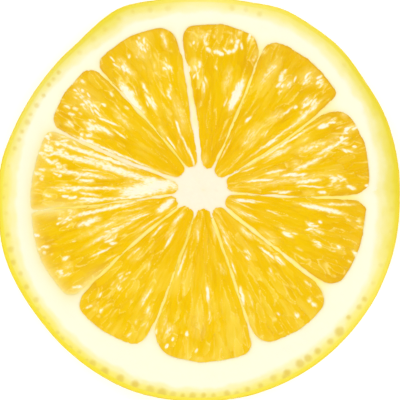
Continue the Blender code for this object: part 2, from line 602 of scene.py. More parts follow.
@dataclass
class JuiceSacs:
    """The juice sacs of one segment on one cut face: long drops that point at the core.

    Attributes:
        segment: the segment that they fill.
        look: the cut face that they show on.
    """

    segment: Segment
    look: CutFace

    # The width near the pith, its share near the core, and the gap from sac to sac as a share
    sac_width: float = 1.7
    narrow_share: float = 0.55
    gap_across: float = 0.75
    # The length near the core, how much less it is near the pith, and the step from row to row
    sac_length: float = 9.0
    shortening: float = 5.2
    row_step: float = 0.52
    # How far inside the pith the first row lies, and how far past the tip the last one may lie
    first_row_in: float = 0.6
    last_row_past: float = 1.0
    # How plump they are, how far they melt together, and how far down the gaps between them lie
    plumpness: float = 0.17
    melt: float = 0.08
    floor: float = -0.03
    # How frayed and how blunt they are, how much fatter towards the pith, and their border's width
    fray: float = 0.15
    bluntness: float = 2.4
    fattening: float = 0.18
    border_width: float = 0.045

    def __post_init__(self) -> None:
        """Lay the sacs out in rows from the pith to the core."""
        seed = 100 * self.segment.number + (7 if self.look is CutFace.LOWER else 0)
        chance = np.random.default_rng(seed)
        rows = []
        distance = max(self.segment.reach) - self.first_row_in
        while distance > self.segment.tip - self.last_row_past:
            nearness = distance / self.segment.reach[1]
            width = self.sac_width * (self.narrow_share + (1 - self.narrow_share) * nearness)
            length = self.sac_length - self.shortening * nearness**2
            arc = math.radians(self.segment.spread) * distance
            count = max(2, round(arc / (width * self.gap_across)))
            places = (np.arange(count) + 0.5) / count - 0.5 + chance.uniform(-0.3, 0.3, count) / count
            direction = self.segment.middle + self.segment.spread * places
            out = distance + chance.uniform(-0.45, 0.45, count) * length
            long = length * chance.uniform(0.7, 1.35, count)
            wide = width * chance.uniform(0.75, 1.3, count)
            lean = chance.normal(0, 5, count)
            lift = chance.uniform(-0.04, 0.04, count)
            tone = chance.uniform(-1, 1, count)
            pale = chance.uniform(0, 1, count)
            rows.append(np.column_stack([out, direction, long, wide, lean, lift, tone, pale]))
            distance -= length * self.row_step
        self.drops = np.concatenate(rows)

    def cover(self, points: Array) -> tuple[Array, Array, Array, Array]:
        """Find the sac that shows at each point.

        Args:
            points: points in the plane.

        Returns:
            The surface's height, how near each point is to the border between two sacs, and the
            tone and paleness of the sac that shows.
        """
        x, y = points.T
        fray_x = NOISES.fibre.at(x * 1.1, y * 1.1)
        fray_y = NOISES.fibre.at(y * 1.3, x * 1.3)
        frayed = points + self.fray * np.stack([fray_x, fray_y], axis=1)
        best = np.full(len(points), self.floor)
        second = np.full(len(points), self.floor - 0.1)
        tone, pale = np.zeros(len(points)), np.zeros(len(points))
        for distance, direction, length, width, lean, lift, drop_tone, drop_pale in self.drops:
            offset = frayed - from_polar(distance, direction)
            along, across = along_and_across(offset, direction + lean)
            along = along / (length / 2)
            girth = width / 2 * np.sqrt(np.clip(1 - np.abs(along) ** self.bluntness, 0, 1))
            girth = girth * (1 + self.fattening * along)
            roundness = 1 - (across / np.maximum(girth, 1e-6)) ** 2
            top = np.where(
                (np.abs(along) < 1) & (roundness > 0),
                lift + 2 * self.plumpness * girth * np.clip(roundness, 0, 1) ** 0.8,
                -1.0,
            )
            wins = top > best
            second = np.where(wins, best, np.maximum(second, top))
            tone, pale = np.where(wins, drop_tone, tone), np.where(wins, drop_pale, pale)
            best = np.where(wins, top, best)
        gap = best - second
        melted = best + np.clip(self.melt - gap, 0, None) ** 2 / (4 * self.melt)
        return melted, np.exp(-((gap / self.border_width) ** 2)), tone, pale


@dataclass
class Pulp:
    """The pulp of one segment, as a closed piece with juice sacs on both cut faces.

    Attributes:
        segment: the segment's shape and look.
    """

    segment: Segment

    # How far it reaches under the edge of its window, and how far it lies below the cut face
    tuck: float = 0.16
    sunk_by: float = 0.33
    edge_sunk_by: float = 0.16
    # How far in from its edge it slopes, and the least and the most that any of it lies down
    slope_width: float = 0.8
    sunk_between: tuple[float, float] = (0.03, 0.9)
    # How far its swells, its fibres and its pale flecks stand up, and a swell's length
    swell_rise: float = 0.05
    fibre_rise: float = 0.03
    fleck_rise: float = 0.06
    swell_length: float = 5.0
    # How much the tone varies from sac to sac, from fibre to fibre and from swell to swell
    sac_tone: float = 0.30
    fibre_tone: float = 0.22
    swell_tone: float = 0.45
    # How clearly the walls between the sacs show
    web_strength: float = 0.7
    # The distance between the points of its faces and of its outline
    upper_spacing: float = 0.15
    lower_spacing: float = 0.34
    rim_spacing: float = 0.26
    # How crowded the strewn flecks are, and the share of them that is broad and milky
    crowding: float = 3.1
    milky_share: float = 0.16
    # How much wider a milky fleck is, and how far apart the flecks' clusters are
    milky_width: float = 3.2
    cluster_gap: float = 3.0
    # Where the inner and the middle third end, as shares of its reach
    thirds: tuple[float, float] = (0.45, 0.72)
    # Length, width and lean in degrees of the flecks in the inner, middle and outer third
    dash_sizes: tuple[tuple[float, float, float], ...] = (
        (3.4, 0.40, 3.0),
        (2.7, 0.48, 6.0),
        (1.2, 0.64, 20.0),
    )

    def strewn_dashes(self, look: CutFace) -> list[Dash]:
        """Pale flecks, partly painted highlights, at random in loose clusters: short near the pith and
        long near the core.

        Args:
            look: the cut face that they show on.

        Returns:
            The flecks.
        """
        segment = self.segment
        chance = np.random.default_rng(500 + 10 * segment.number + look.value)
        reach = segment.reach[1]
        bounds = (segment.tip, *(share * reach for share in self.thirds), reach)
        made = []
        for third, share in enumerate(segment.flecks):
            start, end = bounds[third : third + 2]
            length, width, lean = self.dash_sizes[third]
            area = math.radians(segment.spread) * (end**2 - start**2) / 2
            for _ in range(round(share * area * self.crowding / (length * width))):
                distance = math.sqrt(chance.uniform(start**2, end**2))
                direction = segment.middle + segment.spread * chance.uniform(-0.49, 0.49)
                x, y = from_polar(distance, direction)[:, None] / self.cluster_gap
                crowd = NOISES.fleck.layered(x + 31.0 * look.value, y, 2)[0]
                long = length * chance.uniform(0.6, 1.7)
                wide = width * chance.uniform(0.6, 1.4)
                strength = 0.32 + 0.88 * chance.uniform(0, 1) ** 1.4
                turn = chance.normal(0, lean)
                if chance.uniform() < self.milky_share:
                    wide, strength = wide * self.milky_width, 0.30 + 0.12 * strength
                if chance.uniform(-0.45, 0.45) < crowd:
                    made.append(Dash.centred(direction, distance, long, wide, strength, turn))
        return made

    def face(self, shell: Shell, rim: Array, look: CutFace) -> Array:
        """Build one cut face.

        Args:
            shell: the shell that the face is added to.
            rim: the segment's outline.
            look: which cut face it is.

        Returns:
            The numbers of the outline's points.
        """
        segment = self.segment
        spacing = self.upper_spacing if look is CutFace.UPPER else self.lower_spacing
        inner = honeycomb(rim.min(0), rim.max(0), spacing, 40 + segment.number)
        inner = inner[segment.depth(inner) > -self.tuck + spacing * 0.55]
        points, triangles, (edge,) = fill_region([rim], inner)

        depth = segment.depth(points)
        distance, direction = to_polar(points)
        turn = turn_from(direction, segment.middle)
        # Fibres spread as the segment widens; they are long near the core and short near the pith
        across = np.radians(turn) * (8 + 0.55 * distance)
        along = 12 * np.log(1 + distance / 9) + 0.012 * distance**2
        relief, border, tone, pale = JuiceSacs(segment, look).cover(points)
        x, y = points.T / self.swell_length
        swell = NOISES.swell.layered(x, y, 2)
        fine = NOISES.fibre.layered(across * 2.6 + 40 * segment.number, distance * 0.45)
        dashes = self.strewn_dashes(look)
        if look is CutFace.UPPER:
            dashes += segment.dashes
        # Pale flecks: fibres and sac walls, partly painted highlights
        flecks = dash_cover(points, dashes)

        edge_fall = 1 - smooth_step(-self.tuck, self.slope_width, depth)
        raised = self.swell_rise * swell + self.fibre_rise * fine + self.fleck_rise * flecks
        sunk = self.sunk_by - relief - raised
        sunk = sunk + (self.edge_sunk_by - sunk) * 0.8 * edge_fall
        sunk = np.clip(sunk, *self.sunk_between)

        varied = self.sac_tone * tone + self.fibre_tone * fine + self.swell_tone * swell
        reached = distance / segment.reach[1]
        webs = border * smooth_step(0.55, 1.0, pale + 0.45 * fine)
        outward = smooth_step(0.65, 0.90, reached)
        # Painted shade: darker towards the pith, and a painted shadow in a band just inside the
        # window's outer edge
        near_pith = smooth_step(0.60, 0.95, reached)
        fade = segment.haze**2 * outward * np.exp(-np.clip(depth, 0, None) / 0.75)
        painted_edge_shadow = 1.6 * outward * np.exp(-(((depth - 0.05) / 0.30) ** 2))
        numbers = shell.add(
            points,
            look.height(sunk),
            tone=segment.tone + varied,
            webs=self.web_strength * webs,
            flecks=flecks,
            fade=fade,
            # Painted shade and shadow near the pith, carried in the rim value
            rim=np.clip((near_pith + painted_edge_shadow) * segment.painted_edge_shade, 0, 1),
            inward=1 - smooth_step(segment.tip, 0.75 * segment.reach[1], distance),
            grain=along_grain(across, along, 9.0 * segment.number),
        )
        shell.add_triangles(numbers[triangles], look)
        return numbers[edge]

    def build(self, material: bpy.types.Material) -> bpy.types.Object:
        """Build the piece.

        Args:
            material: the pulp's finish.

        Returns:
            The finished object.
        """
        shell = Shell(self.segment.name)
        rim = self.segment.outline(self.tuck, self.rim_spacing)
        upper = self.face(shell, rim, CutFace.UPPER)
        lower = self.face(shell, rim, CutFace.LOWER)
        shell.add_band(lower, upper)
        return shell.finish(material, "pulp")


class RindColumn(IntEnum):
    """What the columns of the rind's table hold, after the direction."""

    WIDTH = 1
    STRENGTH = 2
    SHADE = 3


@dataclass(frozen=True)
class Gland:
    """An oil gland in the rind, cut open.

    Attributes:
        place: its middle, in the plane.
        size: its width.
        strength: how dark and deep it is, from 0 to 1.
    """

    place: tuple[float, float]
    size: float
    strength: float


@dataclass
class SkinLine:
    """The line of the skin halfway up the rim, taken from the plain solid."""

    # How far the line is drawn in, and how near to half height a corner has to be to count
    margin: float = 0.03
    level_within: float = 0.05
    # How many points the line has
    count: int = 1000
    # How many waves round the slice are kept when the line is smoothed
    waves: int = 34

    def __post_init__(self) -> None:
        """Read the plain solid's rim at half height and smooth it."""
        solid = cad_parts[NODE].data
        points = np.zeros(len(solid.vertices) * 3, np.float32)
        solid.vertices.foreach_get("co", points)
        points = points.reshape(-1, 3) / MM
        rim = points[np.abs(points[:, 2] - THICKNESS / 2) < self.level_within]
        turns = np.arctan2(rim[:, 1], rim[:, 0])
        order = np.argsort(turns)
        even = np.linspace(-math.pi, math.pi, self.count, endpoint=False)
        away = np.hypot(rim[:, 0], rim[:, 1])
        radius = np.interp(even, turns[order], away[order], period=2 * math.pi)
        waves = np.fft.rfft(radius)
        waves[self.waves :] = 0
        radius = np.fft.irfft(waves, self.count) - self.margin
        self.points = np.stack([radius * np.cos(even), radius * np.sin(even)], axis=1)
        ahead = np.roll(self.points, -1, axis=0) - np.roll(self.points, 1, axis=0)
        ahead /= np.hypot(*ahead.T)[:, None]
        self.outwards = np.stack([ahead[:, 1], -ahead[:, 0]], axis=1)
        steps = np.hypot(*np.diff(self.points, axis=0, append=self.points[:1]).T)
        self.travelled = np.cumsum(steps) - steps
        self.radius = float(np.hypot(*self.points.T).mean())

    def depth(self, points: Array) -> Array:
        """How far points lie inside the skin line.

        Args:
            points: points in the plane.

        Returns:
            The depth of each point, negative outside.
        """
        depths = []
        for part in np.array_split(points, max(1, len(points) // 2000)):
            offset = self.points[None] - part[:, None]
            nearest = np.argmin((offset**2).sum(2), axis=1)
            chosen = offset[np.arange(len(part)), nearest]
            depths.append((chosen * self.outwards[nearest]).sum(1))
        return np.concatenate(depths)

    def bulge(self, height: float) -> float:
        """How far the rim of the ball that the slice was cut from is drawn in at a height."""
        return self.radius - math.sqrt(self.radius**2 - (height - THICKNESS / 2) ** 2)

    def inset(self, distance: float | Array) -> Array:
        """The line drawn in by a distance."""
        return self.points - self.outwards * np.reshape(distance, (-1, 1))


@dataclass
class Peel:
    """The peel, the membranes and the core: one closed shell with a window for each segment.

    Attributes:
        segments: the segments that fill the windows.
        skin: the line of the skin.
    """

    segments: tuple[Segment, ...]
    skin: SkinLine

    # The radius of the two cut edges, and the points round each
    edge_rounding: float = 0.42
    edge_points: int = 7
    # How far inside the skin the cut faces stop, and the step of the two rings that follow them
    face_inset: float = 0.95
    ring_step: float = 0.16
    side_rows: int = 30
    # The distance between points on the cut faces and on the windows' outlines
    spacing: float = 0.30
    window_spacing: float = 0.22
    # How far the cut faces' inner points stay away from the windows and from the faces' rims
    window_clearance: float = 0.16
    rim_clearance: float = 0.2
    # How far the cut faces fall: everywhere, at the windows' edges, at a gland, and in mid-core
    face_fall: float = 0.09
    crest_fall: float = 0.05
    gland_fall: float = 0.17
    dimple_fall: float = 0.16
    dimple_width: float = 1.3
    # How uneven the cut faces are: in broad swells, in the sponge of the pith, along the fibres
    # of the membranes and along those of the core
    swell_fall: float = 0.05
    sponge_fall: float = 0.025
    fibre_fall: float = 0.04
    core_fall: float = 0.05
    # How ragged the border between rind and pith is, as a share of the yellow band
    raggedness: float = 0.18
    # Between these distances from the core the flesh gives way to pith
    flesh_ends: tuple[float, float] = (27.0, 31.0)
    # The pulp's colour beside a window: the width and strength that it has everywhere, and what
    # a hazy segment adds to them
    haze_width: tuple[float, float] = (0.25, 1.0)
    haze_strength: tuple[float, float] = (0.35, 0.20)
    # The pores in the skin: the gap between them, and the least and most of their size and depth
    pore_gap: float = 1.15
    pore_size: tuple[float, float] = (0.26, 0.44)
    pore_depth: tuple[float, float] = (0.05, 0.12)
    # How far the skin swells in and out, how far one swell goes round, and a patch of its mottle
    skin_swell: float = 0.05
    skin_swell_length: float = 5.0
    mottle_length: float = 2.2

    # Direction, width of the rind's yellow band, strength of its colour, and its painted shade
    rind_band: tuple[tuple[float, ...], ...] = (
        (0, 4.5, 1.00, 1.0),
        (30, 3.1, 0.90, 0.9),
        (60, 3.0, 0.70, 0.4),
        (90, 2.6, 0.20, 0.0),
        (118, 3.7, 1.00, 0.8),
        (150, 2.1, 0.45, 0.6),
        (180, 3.5, 0.90, 0.2),
        (210, 2.8, 0.95, 0.2),
        (240, 3.0, 1.00, 0.1),
        (270, 2.6, 0.80, 0.1),
        (300, 3.2, 0.85, 0.1),
        (330, 3.0, 0.55, 0.0),
    )
    # First and last direction of a row of glands, its depth, the gap between them, size, strength
    gland_rows: tuple[tuple[float, ...], ...] = (
        (2, 46, 1.6, 5.5, 0.9, 0.25),
        (72, 84, 1.9, 2.4, 1.0, 0.40),
        (98, 134, 1.9, 3.2, 1.1, 0.40),
        (138, 166, 1.8, 1.9, 1.0, 0.80),
        (170, 190, 1.6, 3.0, 0.8, 0.30),
        (190, 214, 1.7, 2.4, 1.1, 0.75),
        (214, 236, 1.0, 1.9, 0.9, 0.75),
        (236, 262, 1.3, 2.9, 1.8, 1.00),
        (262, 296, 1.3, 2.3, 1.25, 0.90),
        (296, 317, 2.0, 2.5, 1.60, 1.00),
        (317, 329, 2.0, 2.3, 1.15, 0.90),
        (334, 358, 1.6, 3.4, 0.9, 0.30),
    )

    def glands(self, look: CutFace) -> list[Gland]:
        """The oil glands that the knife opened on one cut face.

        Args:
            look: which cut face it is.

        Returns:
            The glands, row by row.
        """
        chance = np.random.default_rng(70 + look.value)
        made = []
        for first, last, depth, gap, size, strength in self.gland_rows:
            direction = first + chance.uniform(0, 1)
            while direction < last:
                line = round((direction - 180) / 360 * self.skin.count) % self.skin.count
                inset = depth + chance.normal(0, 0.18)
                place = self.skin.points[line] - self.skin.outwards[line] * inset
                width = size * chance.uniform(0.65, 1.1)
                made.append(Gland(tuple(place), width, strength * chance.uniform(0.7, 1.0)))
                direction += math.degrees(gap / FRUIT_RADIUS) * chance.uniform(0.75, 1.3)
        return made

    def gland_cover(self, points: Array, look: CutFace) -> Array:
        """How strongly the cut oil glands show at points, from 0 to 1.

        Args:
            points: points in the plane.
            look: the cut face that they are on.

        Returns:
            One value for each point.
        """
        cover = np.zeros(len(points))
        for gland in self.glands(look):
            offset = np.hypot(*(points - gland.place).T)
            spot = 1 - smooth_step(0.25, 0.75, offset / gland.size)
            cover = np.maximum(cover, gland.strength * spot)
        return cover

    def window_depths(self, points: Array) -> tuple[Array, Array]:
        """The distance to the nearest window, and how much its pulp's colour shows through.

        Args:
            points: points outside all windows.

        Returns:
            Distances, and the strength of the colour from 0 to 1.
        """
        nearest = np.full(len(points), FAR)
        haze = np.zeros(len(points))
        distance, _ = to_polar(points)
        for segment in self.segments:
            away = -segment.depth(points)
            hazy = segment.haze * smooth_step(segment.tip + 6, segment.tip + 14, distance)
            width = self.haze_width[0] + self.haze_width[1] * hazy
            strength = self.haze_strength[0] + self.haze_strength[1] * hazy
            haze = np.maximum(haze, strength * np.exp(-np.clip(away, 0, None) / width))
            nearest = np.minimum(nearest, away)
        return nearest, haze

    def paleness(self, distance: Array, direction: Array) -> Array:
        """How white the nearest membrane is; the core is white.

        Args:
            distance: the points' distances from the core's middle.
            direction: their directions.

        Returns:
            One value for each point, from 0 for yellow with juice to 1.
        """
        nearest = np.full(len(distance), FAR)
        pale = np.ones(len(distance))
        for segment in self.segments:
            beside = np.abs(turn_from(direction, segment.right.direction(distance)))
            whiteness = np.interp(distance, segment.right.paleness_read_at, segment.right.paleness)
            pale = np.where(beside < nearest, whiteness, pale)
            nearest = np.minimum(nearest, beside)
        pale = pale * (1 + 0.6 * NOISES.swell.layered(distance / 2.5, direction / 6, 2))
        near_core = 1 - smooth_step(CORE_RADIUS, CORE_RADIUS + 3, distance)
        return pale + (1 - pale) * near_core

    def face(
        self, shell: Shell, rim: Array, windows: list[Array], look: CutFace
    ) -> tuple[Array, list[Array]]:
        """Build one cut face of the shell.

        Args:
            shell: the shell that the face is added to.
            rim: the outer loop of the face.
            windows: the loops of the windows.
            look: which cut face it is.

        Returns:
            The numbers of the outer loop's points, and of each window's points.
        """
        inner = honeycomb(rim.min(0), rim.max(0), self.spacing, 30)
        nearest, _ = self.window_depths(inner)
        clear_of_rim = self.skin.depth(inner) > self.face_inset + self.rim_clearance
        inner = inner[(nearest > self.window_clearance) & clear_of_rim]
        points, triangles, loops = fill_region([rim, *windows], inner)

        from_skin = self.skin.depth(points)
        nearest, haze = self.window_depths(points)
        distance, direction = to_polar(points)
        across = np.radians(direction) * 10
        glands = self.gland_cover(points, look)
        x, y = points.T
        swell = NOISES.swell.layered(x / 6 + 50, y / 6, 2)
        sponge = NOISES.fleck.layered(x * 0.9, y * 0.9)
        fibre = NOISES.fibre.layered(across * 2.2, distance * 0.5)
        in_core = 1 - smooth_step(CORE_RADIUS - 1.0, CORE_RADIUS + 4.0, distance)
        in_flesh = 1 - smooth_step(*self.flesh_ends, distance)
        pale = self.paleness(distance, direction)

        crest = 1 - smooth_step(0, 0.30, nearest)
        sunk = self.face_fall + self.swell_fall * swell + self.sponge_fall * sponge
        sunk = sunk + self.gland_fall * glands + self.crest_fall * crest
        sunk = sunk + in_flesh * (0.5 + fibre) * self.fibre_fall + in_core * self.core_fall * fibre
        sunk = sunk + self.dimple_fall * np.exp(-((distance / self.dimple_width) ** 2))
        sunk = sunk * smooth_step(self.face_inset * 0.6, self.face_inset * 2.2, from_skin)
        band = around(direction, self.rind_band, RindColumn.WIDTH)
        ragged = self.raggedness * NOISES.skin.layered(np.radians(direction) * 14, from_skin * 0.6)
        numbers = shell.add(
            points,
            look.height(np.clip(sunk, 0, 0.7)),
            rind=np.clip(from_skin / band + ragged * smooth_step(0.3, 1.5, from_skin), 0, 2),
            strength=around(direction, self.rind_band, RindColumn.STRENGTH),
            # Painted shade: how far one side of the rind is darkened, by direction
            shade=around(direction, self.rind_band, RindColumn.SHADE),
            skin=0.0,
            gland=glands,
            haze=haze,
            film=in_flesh,
            pale=pale,
            grain=along_grain(across, distance, 3.0),
        )
        shell.add_triangles(numbers[triangles], look)
        return numbers[loops[0]], [numbers[loop] for loop in loops[1:]]

    def pores(self, travelled: Array, height: Array) -> Array:
        """How deep the skin's pores are at points of the rim, in millimetres.

        Args:
            travelled: distance along the skin line.
            height: height above the lower cut face.

        Returns:
            The depth at each point.
        """
        cell = self.pore_gap
        chance = np.random.default_rng(88)
        round_trip = self.skin.travelled[-1]
        columns, rows = int(round_trip / cell), int(THICKNESS / cell) + 2
        shift = chance.uniform(-0.42, 0.42, (columns, rows, 2))
        size = chance.uniform(*self.pore_size, (columns, rows))
        deep = chance.uniform(*self.pore_depth, (columns, rows))
        step = round_trip / columns
        depth = np.zeros(travelled.shape)
        column = np.floor(travelled / step).astype(int)
        row = np.floor(height / cell).astype(int)
        for near_column in (-1, 0, 1):
            for near_row in (-1, 0, 1):
                c, r = (column + near_column) % columns, np.clip(row + near_row, 0, rows - 1)
                along = (column + near_column + 0.5 + shift[c, r, 0]) * step - travelled
                up = (row + near_row + 0.5 + shift[c, r, 1]) * cell - height
                depth = np.maximum(depth, deep[c, r] * np.exp(-(along**2 + up**2) / size[c, r] ** 2))
        return depth

    def side(self, shell: Shell, upper: Array, lower: Array) -> None:
        """Build the rim between the two cut faces: rounded edges, and a bulging, pored skin.

        Args:
            shell: the shell that the rim is added to.
            upper: the numbers of the upper face's outer loop.
            lower: the numbers of the lower face's outer loop.
        """
        turns = np.linspace(0, math.pi / 2, self.edge_points)
        fall = self.edge_rounding * (1 - np.cos(turns))
        draw = self.edge_rounding * (1 - np.sin(turns))
        flat = [(self.face_inset - self.ring_step * ring, 0.0) for ring in (1, 2)]
        edge = flat + list(zip(draw, fall))
        between = np.linspace(self.edge_rounding, THICKNESS - self.edge_rounding, self.side_rows)
        rows = [(inset, THICKNESS - sunk) for inset, sunk in edge]
        rows += [(0.0, height) for height in between[-2:0:-1]]
        rows += [(inset, sunk) for inset, sunk in reversed(edge)]

        travelled = self.skin.travelled
        _, direction = to_polar(self.skin.points)
        strength = around(direction, self.rind_band, RindColumn.STRENGTH)
        lumps = NOISES.skin.layered(travelled / self.skin_swell_length, travelled * 0 + 4, 2)
        drawn = self.skin_swell * (1 + lumps)
        above = upper
        for inset, height in rows:
            on_skin = float(smooth_step(0.35, 0.0, np.array(inset)))
            heights = np.full(len(travelled), height)
            pores = self.pores(travelled, heights) * on_skin
            across, up = travelled / self.mottle_length, heights / self.mottle_length
            mottle = NOISES.skin.layered(across, up + 30)
            drawn_in = inset + self.skin.bulge(height) + pores + drawn * on_skin
            numbers = shell.add(
                self.skin.inset(drawn_in),
                heights,
                rind=inset / 4.0,
                strength=np.clip(strength + 0.35 * on_skin, 0, 1),
                shade=around(direction, self.rind_band, RindColumn.SHADE),
                skin=on_skin**3,
                # On the skin: painted shade in the pores, with a little mottle
                gland=np.clip(pores / self.pore_depth[1] + 0.25 * mottle, 0, 1) * on_skin,
                haze=0.0,
                film=0.0,
                pale=0.0,
                grain=along_grain(travelled, heights, 6.0),
            )
            shell.add_band(numbers, above)
            above = numbers
        shell.add_band(lower, above)

    def build(self, material: bpy.types.Material) -> bpy.types.Object:
        """Build the piece.

        Args:
            material: the peel's finish.

        Returns:
            The finished object.
        """
        shell = Shell("peel_and_membranes")
        rim = self.skin.inset(self.face_inset + self.skin.bulge(THICKNESS))
        windows = [segment.outline(0.0, self.window_spacing) for segment in self.segments]
        upper, upper_windows = self.face(shell, rim, windows, CutFace.UPPER)
        lower, lower_windows = self.face(shell, rim, windows, CutFace.LOWER)
        self.side(shell, upper, lower)
        for above, below in zip(upper_windows, lower_windows):
            shell.add_band(above, below, creased=True)
        return shell.finish(material, "pith")


def srgb(code: str) -> tuple[float, float, float, float]:
    """The linear colour of a hex code such as F5C400.

    Args:
        code: the hex code.

    Returns:
        Red, green, blue and 1 for solid.
    """
    channels = [int(code[i : i + 2], 16) / 255 for i in (0, 2, 4)]
    linear = [c / 12.92 if c <= 0.04045 else ((c + 0.055) / 1.055) ** 2.4 for c in channels]
    return (*linear, 1.0)


class NodeSheet:
    """A node tree, with short calls that add nodes and join them."""

    COLUMN_WIDTH = 190

    def __init__(self, tree: bpy.types.NodeTree) -> None:
        """Clear the tree and start laying nodes out from the left.

        Args:
            tree: the material's or the group's node tree.
        """
        self.tree = tree
        self.tree.nodes.clear()
        self.column = 0

    def add(self, kind: str, inputs: dict | None = None, **settings: object) -> bpy.types.Node:
        """Add a node.

        Args:
            kind: the node's type, without its ShaderNode prefix.
            inputs: for each input, by name or number, a value, or a socket to join to it.
            **settings: the node's own settings.

        Returns:
            The new node.
        """
        prefix = "" if kind.startswith("NodeGroup") else "ShaderNode"
        node = self.tree.nodes.new(prefix + kind)
        node.location = (self.column, 0)
        self.column += self.COLUMN_WIDTH
        for name, value in settings.items():
            setattr(node, name, value)
        for key, value in (inputs or {}).items():
            self.feed(node.inputs[key], value)
        return node

    def feed(self, socket: bpy.types.NodeSocket, value: object) -> None:
        """Join a socket to another one, or set its value.

        Args:
            socket: the input to feed.
            value: a value, or an output to join to it.
        """
        if isinstance(value, bpy.types.NodeSocket):
            self.tree.links.new(value, socket)
        else:
            socket.default_value = value

    def quality(self, name: str) -> bpy.types.NodeSocket:
        """The value that a mesh holds for one of its named qualities."""
        return self.add("Attribute", attribute_name=name).outputs["Fac"]

    def grain(self) -> bpy.types.NodeSocket:
        """The mesh's own coordinates: across the fibres, along them, and which piece."""
        return self.add("Attribute", attribute_name="grain").outputs["Vector"]

    def mix(
        self, amount: object, first: object, second: object, blend: str = "MIX"
    ) -> bpy.types.NodeSocket:
        """Mix two colours.

        Args:
            amount: how much of the second colour.
            first: the first colour, or a socket.
            second: the second colour, or a socket.
            blend: how they are mixed.

        Returns:
            The mixed colour's socket.
        """
        node = self.add("Mix", data_type="RGBA", blend_type=blend)
        self.feed(node.inputs[0], amount)
        self.feed(node.inputs[6], first)
        self.feed(node.inputs[7], second)
        return node.outputs[2]

    def math(
        self, operation: str, first: object, second: object, clamp: bool = False
    ) -> bpy.types.NodeSocket:
        """Work out one sum.

        Args:
            operation: the sum, such as ADD.
            first: the first number, or a socket.
            second: the second number, or a socket.
            clamp: whether the result is kept between 0 and 1.

        Returns:
            The result's socket.
        """
        node = self.add("Math", {0: first, 1: second}, operation=operation, use_clamp=clamp)
        return node.outputs[0]

    def scaled(
        self, value: object, factor: float, added: float = 0.0, clamp: bool = False
    ) -> bpy.types.NodeSocket:
        """A value times a factor, plus a number, kept between 0 and 1 if clamp is set."""
        inputs = {0: value, 1: factor, 2: added}
        return self.add("Math", inputs, operation="MULTIPLY_ADD", use_clamp=clamp).outputs[0]

    def group(self, tree: bpy.types.NodeTree, **inputs: object) -> dict[str, bpy.types.NodeSocket]:
        """Place a node group.

        Args:
            tree: the group.
            **inputs: a value or a socket for each of the group's inputs, by name.

        Returns:
            The group's outputs, by name.
        """
        node = self.add("Group", node_tree=tree)
        for name, value in inputs.items():
            self.feed(node.inputs[name], value)
        return {output.name: output for output in node.outputs}

    def ramp(self, value: object, stops: dict[float, str]) -> bpy.types.NodeSocket:
        """A colour that changes softly with a value.

        Args:
            value: the value's socket.
            stops: hex codes by their places, from 0 to 1.

        Returns:
            The colour's socket.
        """
        node = self.add("ValToRGB", {"Fac": value})
        node.color_ramp.interpolation = "EASE"
        elements = node.color_ramp.elements
        while len(elements) < len(stops):
            elements.new(0.5)
        for element, (place, code) in zip(elements, stops.items()):
            element.position = place
            element.color = srgb(code)
        return node.outputs["Color"]

    def surface(self, inputs: dict[str, object]) -> None:
        """End a material with its shader, fed by the inputs' names."""
        shader = self.add("BsdfPrincipled", inputs)
        self.add("OutputMaterial", {"Surface": shader.outputs[0]})


def new_group(
    name: str, inputs: dict[str, tuple[str, object]], outputs: dict[str, str]
) -> bpy.types.NodeTree:
    """Start a shader node group.

    Args:
        name: the group's name.
        inputs: for each input its kind of socket and its usual value.
        outputs: for each output its kind of socket.

    Returns:
        The empty group.
    """
    group = bpy.data.node_groups.new(name, "ShaderNodeTree")
    for label, (kind, usual) in inputs.items():
        socket = group.interface.new_socket(name=label, in_out="INPUT", socket_type=kind)
        if usual is not None:
            socket.default_value = usual
    for label, kind in outputs.items():
        group.interface.new_socket(name=label, in_out="OUTPUT", socket_type=kind)
    return group


def fibre_streaks_group() -> bpy.types.NodeTree:
    """Fine streaks that run along the fruit's fibres, as a mask and a height.

    Returns:
        A group with inputs Grain, Fineness, Length and Coverage, and outputs Mask and Height.
    """
    group = new_group(
        "fibre_streaks",
        {
            "Grain": ("NodeSocketVector", None),
            "Fineness": ("NodeSocketFloat", 3.0),
            "Length": ("NodeSocketFloat", 2.0),
            "Coverage": ("NodeSocketFloat", 0.5),
        },
        {"Mask": "NodeSocketFloat", "Height": "NodeSocketFloat"},
    )
    sheet = NodeSheet(group)
    given = sheet.add("NodeGroupInput").outputs
    parts = sheet.add("SeparateXYZ", {0: given["Grain"]})
    across = sheet.math("MULTIPLY", parts.outputs["X"], given["Fineness"])
    along = sheet.math("DIVIDE", parts.outputs["Y"], given["Length"])
    stretched = sheet.add("CombineXYZ", {0: across, 1: along, 2: parts.outputs["Z"]})
    grainy = {"Scale": 1.0, "Detail": 4.0, "Roughness": 0.55, "Distortion": 0.35}
    noise = sheet.add("TexNoise", {"Vector": stretched.outputs[0]} | grainy)
    value = noise.outputs["Fac"]
    start = sheet.math("SUBTRACT", 1.0, given["Coverage"])
    above = sheet.math("SUBTRACT", value, start)
    mask = sheet.scaled(above, 5.0, clamp=True)
    sheet.add("NodeGroupOutput", {"Mask": mask, "Height": value})
    return group


